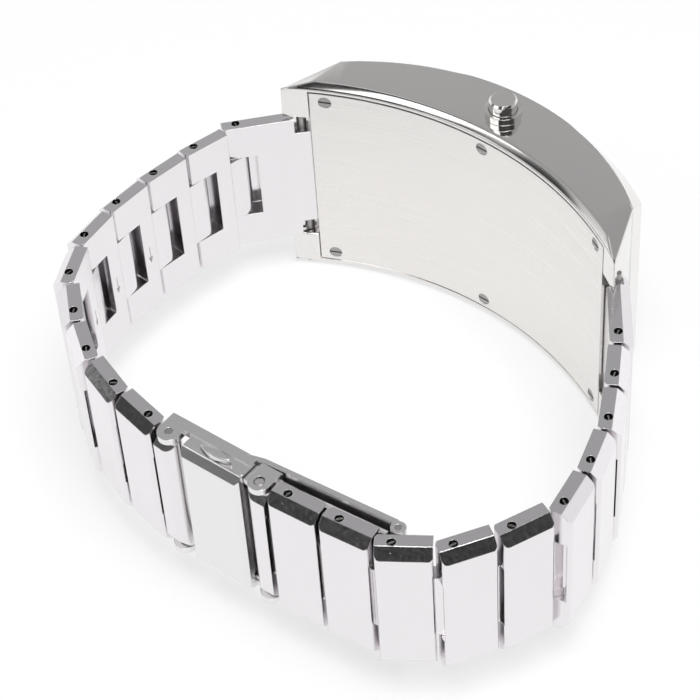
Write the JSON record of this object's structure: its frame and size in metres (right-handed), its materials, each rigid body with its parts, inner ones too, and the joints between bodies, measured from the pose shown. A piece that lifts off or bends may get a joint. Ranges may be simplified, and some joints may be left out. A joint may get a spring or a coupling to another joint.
{
  "type": "led wristwatch",
  "caption": "Wide curved rectangular LED wristwatch in polished steel on a link bracelet closed by a fold-over push-button clasp, lying on its side.",
  "frame": {"origin": "middle of the case's flat lower side wall, which the watch rests on", "axes": "+Z along the bracelet's pins, up from the resting side to the pusher; +X from twelve to six along the case; +Y from the dial through the bracelet's loop to the clasp"},
  "size_m": [0.0907, 0.0811, 0.0399],
  "materials": {
    "case_polish": "polished",
    "back_steel": "brushed along its length",
    "link_steel": "bright satin with polished bevels",
    "clasp_steel": "satin",
    "pin_steel": "dull",
    "dark_glass": "dark tinted mineral glass",
    "seal_rubber": "matt",
    "holder_plastic": "moulded",
    "mask_plastic": "matt black",
    "board_resin": "lacquered board",
    "diode_red": "clear red resin",
    "chip_black": "moulded",
    "cell_steel": "plain",
    "contact_brass": "sprung strip"
  },
  "bodies": {
    "case": {"case_middle": "case_polish", "bezel": "case_polish", "crystal": "dark_glass", "crystal_gasket": "seal_rubber", "back_plate": "back_steel", "back_plate_screws": "pin_steel", "back_gasket": "seal_rubber", "module_holder": "holder_plastic", "display_mask": "mask_plastic", "led_board": "board_resin", "led_array": "diode_red", "circuit_board": "board_resin", "driver_chip": "chip_black", "clock_crystal": "cell_steel", "batteries": "cell_steel", "battery_contacts": "contact_brass", "push_switch": "chip_black", "lug_spring_bars": "pin_steel", "pusher_tube": "case_polish"},
    "setting_pusher": {"pusher": "case_polish", "pusher_spring": "pin_steel", "pusher_seal": "seal_rubber", "pusher_clip": "pin_steel"},
    "six_link_1": {"six_link_1": "link_steel"},
    "six_link_2": {"six_link_2": "link_steel"},
    "six_link_3": {"six_link_3": "link_steel"},
    "six_link_4": {"six_link_4": "link_steel"},
    "six_link_5": {"six_link_5": "link_steel"},
    "six_link_6": {"six_link_6": "link_steel"},
    "six_link_7": {"six_link_7": "link_steel"},
    "six_link_8": {"six_link_8": "link_steel"},
    "six_link_9": {"six_link_9": "link_steel"},
    "six_link_10": {"six_link_10": "link_steel"},
    "six_half_link": {"six_half_link": "link_steel"},
    "twelve_link_1": {"twelve_link_1": "link_steel"},
    "twelve_link_2": {"twelve_link_2": "link_steel"},
    "twelve_link_3": {"twelve_link_3": "link_steel"},
    "twelve_link_4": {"twelve_link_4": "link_steel"},
    "twelve_link_5": {"twelve_link_5": "link_steel"},
    "twelve_link_6": {"twelve_link_6": "link_steel"},
    "twelve_link_7": {"twelve_link_7": "link_steel"},
    "twelve_link_8": {"twelve_link_8": "link_steel"},
    "twelve_link_9": {"twelve_link_9": "link_steel"},
    "twelve_link_10": {"twelve_link_10": "link_steel"},
    "twelve_half_link": {"twelve_half_link": "link_steel"},
    "clasp_base": {"clasp_base": "clasp_steel", "clasp_base_pin": "pin_steel", "clasp_cover": "clasp_steel", "knuckle_pin": "pin_steel"},
    "clasp_arm": {"clasp_arm": "clasp_steel"},
    "clasp_button_top": {"clasp_button_top": "clasp_steel", "clasp_spring_top": "pin_steel"},
    "clasp_button_bottom": {"clasp_button_bottom": "clasp_steel", "clasp_spring_bottom": "pin_steel"}
  },
  "joints": [
    {"name": "six_link_1_hinge", "type": "hinge", "parent": "case", "child": "six_link_1", "pos_m": [0.0297, 0.01186, 0.0185], "axis": [0, 0, 1], "range_deg": [-27.56, 0.01]},
    {"name": "six_link_2_hinge", "type": "hinge", "parent": "six_link_1", "child": "six_link_2", "pos_m": [0.03597, 0.01965, 0.0185], "axis": [0, 0, 1], "range_deg": [-0.01, 11.37]},
    {"name": "six_link_3_hinge", "type": "hinge", "parent": "six_link_2", "child": "six_link_3", "pos_m": [0.03748, 0.0275, 0.0185], "axis": [0, 0, 1], "range_deg": [-0.01, 36.01]},
    {"name": "six_link_4_hinge", "type": "hinge", "parent": "six_link_3", "child": "six_link_4", "pos_m": [0.03815, 0.03548, 0.0185], "axis": [0, 0, 1], "range_deg": [-0.01, 29.29]},
    {"name": "six_link_5_hinge", "type": "hinge", "parent": "six_link_4", "child": "six_link_5", "pos_m": [0.03799, 0.04347, 0.0185], "axis": [0, 0, 1], "range_deg": [-15.99, 0.01]},
    {"name": "six_link_6_hinge", "type": "hinge", "parent": "six_link_5", "child": "six_link_6", "pos_m": [0.03672, 0.05137, 0.0185], "axis": [0, 0, 1], "range_deg": [-12.82, 0.01]},
    {"name": "six_link_7_hinge", "type": "hinge", "parent": "six_link_6", "child": "six_link_7", "pos_m": [0.03282, 0.05836, 0.0185], "axis": [0, 0, 1], "range_deg": [-11.19, 0.01]},
    {"name": "six_link_8_hinge", "type": "hinge", "parent": "six_link_7", "child": "six_link_8", "pos_m": [0.02668, 0.06348, 0.0185], "axis": [0, 0, 1], "range_deg": [-9.81, 0.01]},
    {"name": "six_link_9_hinge", "type": "hinge", "parent": "six_link_8", "child": "six_link_9", "pos_m": [0.01988, 0.06771, 0.0185], "axis": [0, 0, 1], "range_deg": [-8.58, 0.01]},
    {"name": "six_link_10_hinge", "type": "hinge", "parent": "six_link_9", "child": "six_link_10", "pos_m": [0.01223, 0.07002, 0.0185], "axis": [0, 0, 1], "range_deg": [-8.83, 0.01]},
    {"name": "six_half_link_hinge", "type": "hinge", "parent": "six_link_10", "child": "six_half_link", "pos_m": [0.00432, 0.07125, 0.0185], "axis": [0, 0, 1], "range_deg": [-0.01, 22.46]},
    {"name": "twelve_link_1_hinge", "type": "hinge", "parent": "case", "child": "twelve_link_1", "pos_m": [-0.0297, 0.01186, 0.0185], "axis": [0, 0, 1], "range_deg": [-0.01, 4.76]},
    {"name": "twelve_link_2_hinge", "type": "hinge", "parent": "twelve_link_1", "child": "twelve_link_2", "pos_m": [-0.03597, 0.01965, 0.0185], "axis": [0, 0, 1], "range_deg": [-31.04, 0.01]},
    {"name": "twelve_link_3_hinge", "type": "hinge", "parent": "twelve_link_2", "child": "twelve_link_3", "pos_m": [-0.04031, 0.02637, 0.0185], "axis": [0, 0, 1], "range_deg": [-0.01, 6.91]},
    {"name": "twelve_link_4_hinge", "type": "hinge", "parent": "twelve_link_3", "child": "twelve_link_4", "pos_m": [-0.04441, 0.03324, 0.0185], "axis": [0, 0, 1], "range_deg": [-0.01, 14.39]},
    {"name": "twelve_link_5_hinge", "type": "hinge", "parent": "twelve_link_4", "child": "twelve_link_5", "pos_m": [-0.04713, 0.04076, 0.0185], "axis": [0, 0, 1], "range_deg": [-0.01, 16.01]},
    {"name": "twelve_link_6_hinge", "type": "hinge", "parent": "twelve_link_5", "child": "twelve_link_6", "pos_m": [-0.04877, 0.04859, 0.0185], "axis": [0, 0, 1], "range_deg": [-0.01, 40.01]},
    {"name": "twelve_link_7_hinge", "type": "hinge", "parent": "twelve_link_6", "child": "twelve_link_7", "pos_m": [-0.04601, 0.0561, 0.0185], "axis": [0, 0, 1], "range_deg": [-0.01, 17.02]},
    {"name": "twelve_link_8_hinge", "type": "hinge", "parent": "twelve_link_7", "child": "twelve_link_8", "pos_m": [-0.04212, 0.06309, 0.0185], "axis": [0, 0, 1], "range_deg": [-0.01, 32.02]},
    {"name": "twelve_link_9_hinge", "type": "hinge", "parent": "twelve_link_8", "child": "twelve_link_9", "pos_m": [-0.03571, 0.06788, 0.0185], "axis": [0, 0, 1], "range_deg": [-4.78, 0.01]},
    {"name": "twelve_link_10_hinge", "type": "hinge", "parent": "twelve_link_9", "child": "twelve_link_10", "pos_m": [-0.02781, 0.06911, 0.0185], "axis": [0, 0, 1], "range_deg": [-40.01, 0.01]},
    {"name": "twelve_half_link_hinge", "type": "hinge", "parent": "twelve_link_10", "child": "twelve_half_link", "pos_m": [-0.01987, 0.07007, 0.0185], "axis": [0, 0, 1], "range_deg": [-39.01, 0.01]},
    {"name": "clasp_base_hinge", "type": "hinge", "parent": "six_half_link", "child": "clasp_base", "pos_m": [-0.00008, 0.0714, 0.0185], "axis": [0, 0, 1], "range_deg": [-22.97, 0.01]},
    {"name": "clasp_fold", "type": "hinge", "parent": "clasp_base", "child": "clasp_arm", "pos_m": [-0.03451, 0.06504, 0.0185], "axis": [0, 0, 1], "range_deg": [0, 120]},
    {"name": "pusher_press", "type": "slide", "parent": "case", "child": "setting_pusher", "axis": [0, 0, -1], "range_m": [0, 0.0008], "stiffness_N_per_m": 900, "springref_m": -0.0012, "deforming": ["pusher_spring"]},
    {"name": "button_top_press", "type": "slide", "parent": "clasp_base", "child": "clasp_button_top", "axis": [0, 0, -1], "range_m": [0, 0.0008], "stiffness_N_per_m": 800, "springref_m": -0.001, "deforming": ["clasp_spring_top"]},
    {"name": "button_bottom_press", "type": "slide", "parent": "clasp_base", "child": "clasp_button_bottom", "axis": [0, 0, 1], "range_m": [0, 0.0008], "stiffness_N_per_m": 800, "springref_m": -0.001, "deforming": ["clasp_spring_bottom"]}
  ],
  "couplings": [
    {"joint": "six_link_1_hinge", "follows": "clasp_fold", "ratio": -0.22954},
    {"joint": "six_link_2_hinge", "follows": "clasp_fold", "ratio": 0.094701},
    {"joint": "six_link_3_hinge", "follows": "clasp_fold", "ratio": 0.30001},
    {"joint": "six_link_4_hinge", "follows": "clasp_fold", "ratio": 0.24402},
    {"joint": "six_link_5_hinge", "follows": "clasp_fold", "ratio": -0.13315},
    {"joint": "six_link_6_hinge", "follows": "clasp_fold", "ratio": -0.10676},
    {"joint": "six_link_7_hinge", "follows": "clasp_fold", "ratio": -0.093136},
    {"joint": "six_link_8_hinge", "follows": "clasp_fold", "ratio": -0.081649},
    {"joint": "six_link_9_hinge", "follows": "clasp_fold", "ratio": -0.071405},
    {"joint": "six_link_10_hinge", "follows": "clasp_fold", "ratio": -0.07353},
    {"joint": "six_half_link_hinge", "follows": "clasp_fold", "ratio": 0.18705},
    {"joint": "twelve_link_1_hinge", "follows": "clasp_fold", "ratio": 0.039566},
    {"joint": "twelve_link_2_hinge", "follows": "clasp_fold", "ratio": -0.25858},
    {"joint": "twelve_link_3_hinge", "follows": "clasp_fold", "ratio": 0.057541},
    {"joint": "twelve_link_4_hinge", "follows": "clasp_fold", "ratio": 0.11985},
    {"joint": "twelve_link_5_hinge", "follows": "clasp_fold", "ratio": 0.13334},
    {"joint": "twelve_link_6_hinge", "follows": "clasp_fold", "ratio": 0.33336},
    {"joint": "twelve_link_7_hinge", "follows": "clasp_fold", "ratio": 0.14171},
    {"joint": "twelve_link_8_hinge", "follows": "clasp_fold", "ratio": 0.26671},
    {"joint": "twelve_link_9_hinge", "follows": "clasp_fold", "ratio": -0.039708},
    {"joint": "twelve_link_10_hinge", "follows": "clasp_fold", "ratio": -0.33337},
    {"joint": "twelve_half_link_hinge", "follows": "clasp_fold", "ratio": -0.32501},
    {"joint": "clasp_base_hinge", "follows": "clasp_fold", "ratio": -0.19137}
  ]
}
